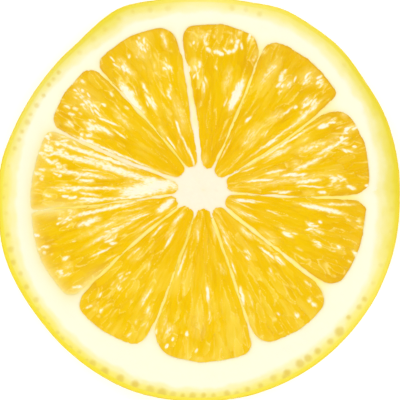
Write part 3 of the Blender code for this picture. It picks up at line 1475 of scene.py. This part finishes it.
def flesh_mottle_group() -> bpy.types.NodeTree:
    """Soft patches of lighter and darker colour, as fruit flesh has.

    Returns:
        A group with inputs Colour, Grain, Scale and Amount, and one output, Colour.
    """
    group = new_group(
        "flesh_mottle",
        {
            "Colour": ("NodeSocketColor", (1.0, 1.0, 1.0, 1.0)),
            "Grain": ("NodeSocketVector", None),
            "Scale": ("NodeSocketFloat", 0.3),
            "Amount": ("NodeSocketFloat", 0.1),
        },
        {"Colour": "NodeSocketColor"},
    )
    sheet = NodeSheet(group)
    given = sheet.add("NodeGroupInput").outputs
    noise = sheet.add("TexNoise", {"Vector": given["Grain"], "Scale": given["Scale"], "Detail": 3.0})
    centred = sheet.math("SUBTRACT", noise.outputs["Fac"], 0.5)
    change = sheet.math("MULTIPLY", centred, given["Amount"])
    factor = sheet.math("ADD", change, 1.0)
    grey = sheet.add("CombineColor", {0: factor, 1: factor, 2: factor})
    result = sheet.mix(1.0, given["Colour"], grey.outputs[0], "MULTIPLY")
    sheet.add("NodeGroupOutput", {"Colour": result})
    return group


def new_material(name: str) -> tuple[bpy.types.Material, NodeSheet]:
    """An empty material with nodes, and a sheet to lay its nodes out on.

    Args:
        name: the material's name.

    Returns:
        The material and its sheet.
    """
    material = bpy.data.materials.new(name)
    material.use_nodes = True
    return material, NodeSheet(material.node_tree)


@dataclass(frozen=True)
class PulpFinish:
    """Wet golden pulp with paler webs, nearly white fibres that are partly painted highlights, and
    painted shade towards the pith.

    Attributes:
        deep: the colour of the thickest juice, also used for painted shade towards the pith.
        golden: the usual colour.
        light: the colour of thin, bright sacs.
        inner: the colour near the core.
        web: the colour of the sacs' walls.
        fibre: the colour of the flecks of fibre and of the painted highlights among them.
        faded: the colour where the pulp fades into the pith.
        roughness: how dull the surface under the juice is.
    """

    deep: str = "D3A100"
    golden: str = "DEB500"
    light: str = "E4C848"
    inner: str = "DCAB00"
    web: str = "EAD572"
    fibre: str = "E9E1C6"
    faded: str = "E4D080"
    roughness: float = 0.4

    def build(self, streaks: bpy.types.NodeTree, mottle: bpy.types.NodeTree) -> bpy.types.Material:
        """Make the material.

        Args:
            streaks: the fibre streaks group.
            mottle: the flesh mottle group.

        Returns:
            The material.
        """
        material, sheet = new_material("pulp")
        grain = sheet.grain()
        lines = sheet.group(streaks, Grain=grain, Fineness=2.6, Length=2.6, Coverage=0.44)
        ragged = sheet.group(streaks, Grain=grain, Fineness=3.2, Length=0.8, Coverage=0.5)
        tone = sheet.scaled(sheet.quality("tone"), 0.5, 0.5)
        base = sheet.ramp(tone, {0.1: self.deep, 0.5: self.golden, 0.95: self.light})
        base = sheet.mix(sheet.scaled(sheet.quality("inward"), 0.6), base, srgb(self.inner))
        # Painted shade: towards the pith and along the window's outer edge the pulp turns the deepest
        # juice colour
        base = sheet.mix(sheet.quality("rim"), base, srgb(self.deep))
        base = sheet.group(mottle, Colour=base, Grain=grain, Scale=0.35, Amount=0.07)["Colour"]
        base = sheet.mix(sheet.scaled(lines["Mask"], 0.12), base, srgb(self.web))
        base = sheet.mix(sheet.quality("webs"), base, srgb(self.web))
        base = sheet.mix(sheet.quality("fade"), base, srgb(self.faded))
        # Flecks are torn along the fibres: pale where they are thin and white where they are thick,
        # the white partly a painted highlight
        torn = sheet.scaled(ragged["Height"], 2.4, -0.3)
        cover = sheet.quality("flecks")
        flecks = sheet.math("MULTIPLY", cover, torn)
        thin = sheet.scaled(cover, 0.7, -0.12)
        thin = sheet.math("ADD", thin, sheet.scaled(flecks, 0.7), clamp=True)
        base = sheet.mix(thin, base, srgb(self.web))
        base = sheet.mix(sheet.scaled(flecks, 2.1, -0.66, clamp=True), base, srgb(self.fibre))

        height = sheet.math("ADD", lines["Height"], sheet.scaled(flecks, 0.6))
        bump = sheet.add("Bump", {"Height": height, "Strength": 0.4, "Distance": 0.00012})
        sheet.surface(
            {
                "Base Color": base,
                "Roughness": self.roughness,
                "Normal": bump.outputs[0],
                "IOR": 1.36,
                "Specular IOR Level": 0.0,
                "Subsurface Weight": 0.25,
                "Subsurface Radius": (1.0, 0.55, 0.12),
                "Subsurface Scale": 0.0003,
                "Coat Weight": 0.28,
                "Coat Roughness": 0.07,
                "Coat IOR": 1.36,
            }
        )
        return material


@dataclass(frozen=True)
class PeelFinish:
    """Yellow rind that softens into cream-white pith, membranes and core.

    Attributes:
        skin: the rind's strongest colour.
        rind: the colour just inside the skin.
        pale_rind: the colour halfway through the rind.
        cream: the colour where rind turns into pith.
        pith: the colour of the pith.
        shade: the tint that paints shade onto the darker side of the rind.
        film: the colour of the core and of the whitest membranes.
        juicy_film: the colour of the most see-through membranes.
        juice: the pulp's colour where it shows through the pith.
        gland: the colour of a cut oil gland.
        outside: the colour of the skin.
        pore_shade: the painted shade at the bottom of the skin's pores.
        roughness: how dull the pith is.
    """

    skin: str = "DFCB14"
    rind: str = "E1D036"
    pale_rind: str = "E2D568"
    cream: str = "E4DCA0"
    pith: str = "E4E2C8"
    shade: str = "F0EEE0"
    film: str = "E9DCC4"
    juicy_film: str = "F0DC80"
    juice: str = "E4C84A"
    gland: str = "D0B444"
    outside: str = "DABA12"
    pore_shade: str = "C6A00A"
    roughness: float = 0.50

    def build(self, streaks: bpy.types.NodeTree, mottle: bpy.types.NodeTree) -> bpy.types.Material:
        """Make the material.

        Args:
            streaks: the fibre streaks group.
            mottle: the flesh mottle group.

        Returns:
            The material.
        """
        material, sheet = new_material("peel")
        grain = sheet.grain()
        rind = sheet.scaled(sheet.quality("rind"), 0.75)
        weak = sheet.ramp(rind, {0.0: self.pale_rind, 0.50: self.cream, 0.92: self.pith})
        strong_stops = {0.0: self.skin, 0.16: self.rind, 0.38: self.pale_rind}
        strong = sheet.ramp(rind, strong_stops | {0.66: self.cream, 0.92: self.pith})
        base = sheet.mix(sheet.quality("strength"), weak, strong)
        near_skin = sheet.math("SUBTRACT", 1.0, rind, clamp=True)
        # Painted shade: the rind darker on one side, less so towards the pith
        shaded = sheet.math("MULTIPLY", sheet.quality("shade"), near_skin)
        base = sheet.mix(shaded, base, srgb(self.shade), "MULTIPLY")
        film_stops = {0.0: self.juice, 0.4: self.juicy_film, 1.0: self.film}
        film = sheet.ramp(sheet.quality("pale"), film_stops)
        base = sheet.mix(sheet.quality("film"), base, film)
        base = sheet.mix(sheet.quality("haze"), base, srgb(self.juice))
        base = sheet.group(mottle, Colour=base, Grain=grain, Scale=0.5, Amount=0.05)["Colour"]
        # On the cut faces this is the opened oil glands' colour; on the skin it is painted shade in
        # the pores
        gland = sheet.quality("gland")
        base = sheet.mix(sheet.scaled(gland, 0.8), base, srgb(self.gland))
        # The skin: painted shade at the bottom of its pores
        side = sheet.mix(gland, srgb(self.outside), srgb(self.pore_shade))
        base = sheet.mix(sheet.quality("skin"), base, side)

        lines = sheet.group(streaks, Grain=grain, Fineness=2.4, Length=1.6, Coverage=0.42)
        bump = sheet.add("Bump", {"Height": lines["Height"], "Strength": 0.25, "Distance": 0.0001})
        wax = sheet.scaled(sheet.quality("skin"), 0.5, 0.12)
        sheet.surface(
            {
                "Base Color": base,
                "Roughness": self.roughness,
                "Normal": bump.outputs[0],
                "IOR": 1.4,
                "Specular IOR Level": 0.2,
                "Subsurface Weight": 0.15,
                "Subsurface Radius": (1.0, 0.8, 0.4),
                "Subsurface Scale": 0.0002,
                "Coat Weight": wax,
                "Coat Roughness": 0.22,
            }
        )
        return material


@dataclass(frozen=True)
class Studio:
    """A plain white table, soft light and a camera that looks straight down.

    Attributes:
        view: what the camera's middle looks at, measured from the core, in millimetres.
        frame_width: how much the picture takes in, in millimetres.
        camera_height: how high the camera stands, in metres.
    """

    view: tuple[float, float] = (-0.56, -1.88)
    frame_width: float = 75.2
    camera_height: float = 0.6

    # The camera's sensor in millimetres, and how near the camera sees in metres
    sensor: float = 36.0
    nearest_seen: float = 0.01
    # The table's width in metres, the gap under the slice in millimetres, and its own light
    table_width: float = 6.0
    table_gap: float = 0.02
    table_glow: float = 0.2
    # How strongly the white room lights the slice from all sides
    room_light: float = 0.78
    # Direction and tilt from overhead, in degrees, of the broad lights and of the small ones
    soft_lights: tuple[tuple[int, int], ...] = ((130, 42), (20, 45), (250, 45))
    lamps: tuple[tuple[int, int], ...] = ((105, 36), (40, 48), (265, 42), (185, 54), (320, 50))
    light_distance: float = 0.9
    # Width in metres and power in watts of a broad light and of a small one
    soft_light: tuple[float, float] = (0.50, 1.5)
    lamp: tuple[float, float] = (0.06, 0.40)

    def add_camera(self) -> None:
        """Set the camera over the slice."""
        data = bpy.data.cameras.new("camera")
        data.sensor_width = self.sensor
        data.lens = self.sensor * (self.camera_height / MM) / self.frame_width
        data.clip_start = self.nearest_seen
        camera = bpy.data.objects.new("camera", data)
        place = (CORE + self.view) * MM
        camera.location = (place[0], place[1], self.camera_height + THICKNESS * MM)
        bpy.context.scene.collection.objects.link(camera)
        bpy.context.scene.camera = camera

    def add_table(self) -> None:
        """Lay a wide white table, softly lit from inside, just under the slice."""
        material, sheet = new_material("table")
        finish = {"Base Color": srgb("FAFAFA"), "Roughness": 0.9, "Specular IOR Level": 0.0}
        glow = {"Emission Color": srgb("FFFFFF"), "Emission Strength": self.table_glow}
        sheet.surface(finish | glow)
        mesh = bpy.data.meshes.new("table")
        half = self.table_width / 2
        corners = [(-half, -half, 0), (half, -half, 0), (half, half, 0), (-half, half, 0)]
        mesh.from_pydata(corners, [], [(0, 1, 2, 3)])
        mesh.materials.append(material)
        table = bpy.data.objects.new("table", mesh)
        table.location.z = LOWEST.z - self.table_gap * MM
        bpy.context.scene.collection.objects.link(table)

    def add_light(self, name: str, direction: float, tilt: float, size: float, power: float) -> None:
        """Add a round soft light that points at the slice.

        Args:
            name: the light's name.
            direction: the side that it stands on, in degrees.
            tilt: how far it leans from straight overhead, in degrees.
            size: its width, in metres.
            power: its power, in watts.
        """
        data = bpy.data.lights.new(name, "AREA")
        data.shape = "DISK"
        data.size = size
        data.energy = power
        light = bpy.data.objects.new(name, data)
        turn, lean = math.radians(direction), math.radians(tilt)
        out = math.sin(lean)
        way = Vector((out * math.cos(turn), out * math.sin(turn), math.cos(lean)))
        light.location = way * self.light_distance
        light.rotation_euler = way.to_track_quat("Z", "Y").to_euler()
        bpy.context.scene.collection.objects.link(light)

    def build(self) -> None:
        """Set up the table, the lights and the camera."""
        scene = bpy.context.scene
        scene.view_settings.view_transform = "Standard"
        world = bpy.data.worlds.new("studio")
        world.use_nodes = True
        background = world.node_tree.nodes["Background"]
        background.inputs["Color"].default_value = srgb("FFFFFF")
        background.inputs["Strength"].default_value = self.room_light
        scene.world = world
        for direction, tilt in self.soft_lights:
            self.add_light(f"soft_light_{direction}", direction, tilt, *self.soft_light)
        for direction, tilt in self.lamps:
            self.add_light(f"lamp_{direction}", direction, tilt, *self.lamp)
        self.add_camera()
        self.add_table()


# The membranes, anticlockwise from the right-hand side
MEMBRANES = (
    Membrane(-6.0, -2.5, 0.50, 1.5, (0.70, 0.60, 0.40), 20.0),
    Membrane(28.0, 34.0, 0.50, 1.6, (0.60, 0.20, 0.55), 24.0),
    Membrane(64.5, 67.5, 0.50, 1.0, (0.50, 0.25, 0.65)),
    Membrane(96.0, 99.0, 1.15, 1.0, (1.00, 0.85, 0.95)),
    Membrane(126.5, 131.5, 0.50, 0.8, (0.15, 0.60, 0.75)),
    Membrane(160.5, 158.0, 0.85, 1.0, (0.85, 0.90, 0.85)),
    Membrane(189.5, 187.0, 0.55, 0.4, (0.95, 0.70, 0.10)),
    Membrane(215.5, 220.5, 0.55, 0.9, (0.25, 0.45, 0.30)),
    Membrane(252.0, 250.0, 0.55, 1.2, (0.10, 0.25, 0.80)),
    Membrane(289.0, 288.5, 0.60, 1.1, (0.25, 0.35, 0.70)),
    Membrane(321.0, 321.5, 0.75, 1.7, (0.45, 0.70, 0.60)),
)


# How far small flecks lean either way, in degrees, as a spread
FLECK_LEAN = 15


def ring_of_glints(
    direction: float, distance: float, half_width: float, half_length: float
) -> list[Dash]:
    """Short pale flecks in a ring, where light bends round a plump sac.

    Args:
        direction: the direction of the ring's middle, seen from the core.
        distance: how far the ring's middle is from the core's.
        half_width: half the ring's size across that direction.
        half_length: half its size along it.

    Returns:
        The flecks, strongest on the side that faces the core.
    """
    chance = np.random.default_rng(321)
    made = []
    for step in np.arange(0.0, 2 * math.pi, 0.42):
        turn = step + chance.uniform(-0.15, 0.15)
        out = distance + half_length * math.sin(turn) + chance.normal(0, 0.22)
        side = direction + math.degrees(half_width * math.cos(turn) / distance)
        size = chance.uniform(0.8, 1.6)
        strength = 0.70 - 0.45 * math.sin(turn) + chance.uniform(-0.15, 0.15)
        ahead = (half_length * math.cos(turn), -half_width * math.sin(turn))
        along_ring = math.degrees(math.atan2(ahead[1], ahead[0]))
        lean = along_ring if chance.uniform() < 0.55 else chance.normal(0, FLECK_LEAN)
        width = chance.uniform(0.5, 0.9)
        made.append(Dash.centred(side, out, size, width, strength, lean))
    return made


def clump(direction: float, distance: float, size: float, strength: float = 0.9) -> list[Dash]:
    """A torn patch of sac walls and painted glints: small bright flecks, close together.

    Args:
        direction: the direction of its middle, seen from the core.
        distance: how far its middle is from the core's.
        size: its width.
        strength: how white its flecks are; 1 is white.

    Returns:
        The flecks.
    """
    chance = np.random.default_rng(round(100 * distance + direction))
    made = [Dash.centred(direction, distance, 1.4 * size, 0.9 * size, 0.40 * strength, 0.0)]
    for _ in range(round(2 + 2.2 * size**1.4)):
        out = distance + chance.normal(0, 0.42) * size
        side = direction + math.degrees(chance.normal(0, 0.27) * size / distance)
        length = chance.uniform(0.70, 1.60) * (1 + 0.035 * (32 - distance))
        width = chance.uniform(0.32, 0.62)
        whiteness = strength * chance.uniform(0.4, 1.25)
        lean = chance.normal(0, FLECK_LEAN)
        made.append(Dash.centred(side, out, length, width, whiteness, lean))
    return made


# The larger pale flecks of each segment, by its number: fibres and torn sac walls, partly painted
# highlights
LARGER_FLECKS_AND_GLINTS = {
    1: [
        Dash(6.5, 8, 24, 1.5, 0.45, 3),
        Dash(4.8, 17.5, 22.5, 0.8, 1.0, 2),
        Dash(13.5, 17, 22.5, 1.0, 0.80, 8),
        Dash(18.5, 22, 29, 0.9, 0.85, 10),
        Dash(21.5, 18, 26.5, 1.6, 0.50, -5),
        Dash(26, 13, 19, 1.1, 0.60),
        Dash(29.5, 9, 25, 0.5, 0.8, 2),
        *clump(22.5, 30.0, 2.4, 1.0),
        *clump(28.0, 27.3, 1.6),
        *clump(4.5, 25.0, 2.0, 1.0),
        *clump(15.0, 28.8, 1.2),
    ],
    2: [
        Dash(36.5, 20, 28.5, 1.0, 0.75, 5),
        Dash(35.6, 10, 24, 0.4, 0.80, 1),
        Dash(47, 27.0, 31, 3.6, 0.40),
        Dash(60.5, 22, 29, 2.2, 0.50, -8),
        Dash(48, 11, 17, 2.6, 0.38),
        *clump(52.0, 25.3, 2.6),
        *clump(47.0, 28.6, 2.4, 1.0),
        *clump(43.0, 29.8, 1.8, 0.8),
        *clump(40.3, 25.6, 2.2, 1.1),
        *clump(50.5, 13.6, 2.0, 0.6),
        *clump(43.0, 15.7, 1.0, 0.7),
    ],
    3: [
        Dash(70.5, 15.8, 22.0, 1.4, 1.4, -5),
        Dash(77.5, 18.5, 24, 1.6, 0.42),
        *ring_of_glints(83, 28.0, 3.1, 2.1),
        *clump(93.5, 23.2, 2.0, 0.8),
        *clump(88.5, 20.0, 1.6, 0.7),
        *clump(93.0, 28.5, 1.8, 0.6),
    ],
    4: [
        Dash(104.5, 27.5, 31, 1.2, 0.60),
        Dash(114, 26.5, 31, 3.2, 0.42),
        Dash(122, 24.4, 30, 1.5, 0.55, 8),
        Dash(128, 18, 25.4, 1.4, 1.4, -4),
        Dash(107, 11, 19, 2.0, 0.40),
        *clump(107.0, 24.2, 2.2, 0.9),
        *clump(108.5, 18.8, 2.0, 0.7),
        *clump(121.0, 18.9, 1.3, 0.9),
        *clump(113.0, 29.6, 2.2, 0.9),
        *clump(124.5, 28.0, 1.8, 0.9),
    ],
    5: [
        Dash(142.5, 24.5, 31, 5.0, 0.34),
        Dash(139.0, 17.5, 22.5, 1.4, 0.45, -4),
        Dash(150.0, 21.5, 26.0, 1.2, 0.85, 6),
        Dash(157, 10, 27, 0.5, 0.9),
        *clump(144.0, 26.7, 2.8, 1.1),
        *clump(141.0, 29.6, 2.4, 0.9),
        *clump(149.5, 24.0, 2.0, 0.7),
        *clump(137.0, 22.0, 2.0, 0.5),
    ],
    6: [
        Dash(178.5, 5.0, 15.5, 2.5, 1.3, 12),
        Dash(171, 4.5, 12, 1.5, 1.2, -2),
        Dash(167, 10, 23, 1.4, 0.9, -5),
        Dash(162, 13, 30, 0.8, 1.0),
        Dash(166, 19, 30.5, 1.0, 0.9),
        Dash(172.5, 17, 30, 0.9, 0.8),
        Dash(179, 14, 29, 0.6, 0.9),
        Dash(185.5, 12, 25, 0.6, 0.8),
        *clump(163.5, 30.0, 1.8, 0.9),
    ],
    7: [
        Dash(202.5, 5.8, 9.6, 1.2, 1.4, 16),
        Dash(191, 12, 26, 0.8, 0.95, 2),
        Dash(195.5, 20, 24.5, 1.2, 0.9, 3),
        Dash(200, 14, 26, 1.4, 0.45, 6),
        Dash(205, 13, 25, 0.7, 0.7, 4),
        *clump(191.5, 26.2, 2.4, 1.0),
        *clump(206.0, 19.7, 2.4, 0.9),
        *clump(211.0, 30.6, 1.8, 0.8),
    ],
    8: [
        Dash(229, 5.5, 9.0, 0.8, 0.7),
        *clump(228.0, 23.7, 2.6, 0.55),
        *clump(226.5, 29.8, 1.5, 0.65),
        *clump(222.5, 17.3, 1.6, 0.6),
        *clump(246.5, 26.2, 2.2, 0.5),
        *clump(234.5, 10.5, 1.8, 0.45),
        *clump(234.0, 17.6, 1.0, 0.5),
    ],
    9: [
        Dash(254, 24, 28.5, 1.0, 0.40),
        Dash(268, 22, 28.5, 4.0, 0.28),
        Dash(262, 5.5, 9.5, 1.5, 0.35),
        *clump(274.0, 24.1, 1.2, 0.45),
        *clump(283.5, 15.7, 1.6, 0.4),
        *clump(256.0, 28.6, 1.6, 0.45),
    ],
    10: [
        Dash(315.5, 9.4, 13.2, 1.2, 0.60),
        Dash(297, 5.5, 11.5, 1.0, 0.50),
        *clump(309.5, 20.4, 1.1, 0.65),
        *clump(305.0, 14.7, 1.0, 0.65),
        *clump(317.5, 18.9, 1.6, 0.65),
        *clump(318.0, 26.7, 1.0, 0.6),
        *clump(314.0, 30.0, 0.8, 0.65),
    ],
    11: [
        Dash(351, 18, 27, 0.9, 1.1, -3),
        Dash(354, 22, 29, 0.7, 0.6, 4),
        Dash(330, 6.5, 11.5, 1.2, 0.50),
        *clump(342.0, 21.5, 1.5, 1.0),
        *clump(333.5, 17.7, 1.5, 0.9),
        *clump(334.5, 23.9, 1.2, 0.9),
        *clump(336.5, 27.6, 1.8, 0.7),
        *clump(348.0, 29.0, 1.6, 0.45),
    ],
}

# Reach at the right, middle and left, tip, right and left corner, flecks, tone, haze, painted edge
# shade
SEGMENTS = (
    ((31.2, 31.7, 30.4), 4.6, 2.8, 4.6, (0.10, 0.10, 0.05), -0.05, 0.25, 0.50),
    ((31.2, 31.6, 31.0), 3.9, 1.2, 2.6, (0.06, 0.06, 0.06), 0.00, 0.25, 0.50),
    ((30.4, 31.4, 30.8), 4.1, 3.4, 2.6, (0.07, 0.05, 0.07), -0.10, 0.25, 0.40),
    ((31.4, 32.1, 31.2), 4.8, 3.6, 2.6, (0.08, 0.09, 0.07), 0.05, 0.25, 0.35),
    ((31.4, 31.8, 31.2), 5.0, 2.2, 2.4, (0.05, 0.05, 0.09), -0.05, 0.25, 0.35),
    ((31.2, 32.0, 32.6), 4.9, 1.6, 0.9, (0.14, 0.22, 0.20), -0.05, 0.90, 0.00),
    ((32.6, 33.3, 32.4), 5.4, 0.9, 2.4, (0.15, 0.14, 0.08), -0.05, 1.00, 0.00),
    ((32.4, 32.6, 31.6), 4.4, 3.0, 2.8, (0.05, 0.02, 0.02), 0.00, 0.25, 0.00),
    ((31.4, 32.5, 31.9), 3.6, 5.0, 2.2, (0.05, 0.02, 0.02), 0.20, 0.25, 0.05),
    ((31.0, 32.0, 31.4), 4.3, 3.2, 3.4, (0.10, 0.04, 0.02), 0.20, 0.25, 0.15),
    ((31.2, 31.4, 30.8), 4.7, 3.2, 2.2, (0.09, 0.04, 0.02), 0.10, 0.25, 0.45),
)


def make_segments() -> tuple[Segment, ...]:
    """The eleven segments, anticlockwise from the right-hand side.

    Returns:
        The segments, with their membranes and their larger flecks.
    """
    made = []
    for number, shape in enumerate(SEGMENTS, start=1):
        right, left = MEMBRANES[number - 1], MEMBRANES[number % len(MEMBRANES)]
        made.append(Segment(number, right, left, *shape, tuple(LARGER_FLECKS_AND_GLINTS[number])))
    return tuple(made)


def main() -> None:
    """Build the slice and its surroundings."""
    logging.basicConfig(level=logging.INFO, format="%(name)s: %(message)s")
    streaks, mottle = fibre_streaks_group(), flesh_mottle_group()
    pulp_finish = PulpFinish().build(streaks, mottle)
    peel_finish = PeelFinish().build(streaks, mottle)
    segments = make_segments()
    Peel(segments, SkinLine()).build(peel_finish)
    for segment in segments:
        Pulp(segment).build(pulp_finish)
    Studio().build()


if __name__ == "__main__":
    main()
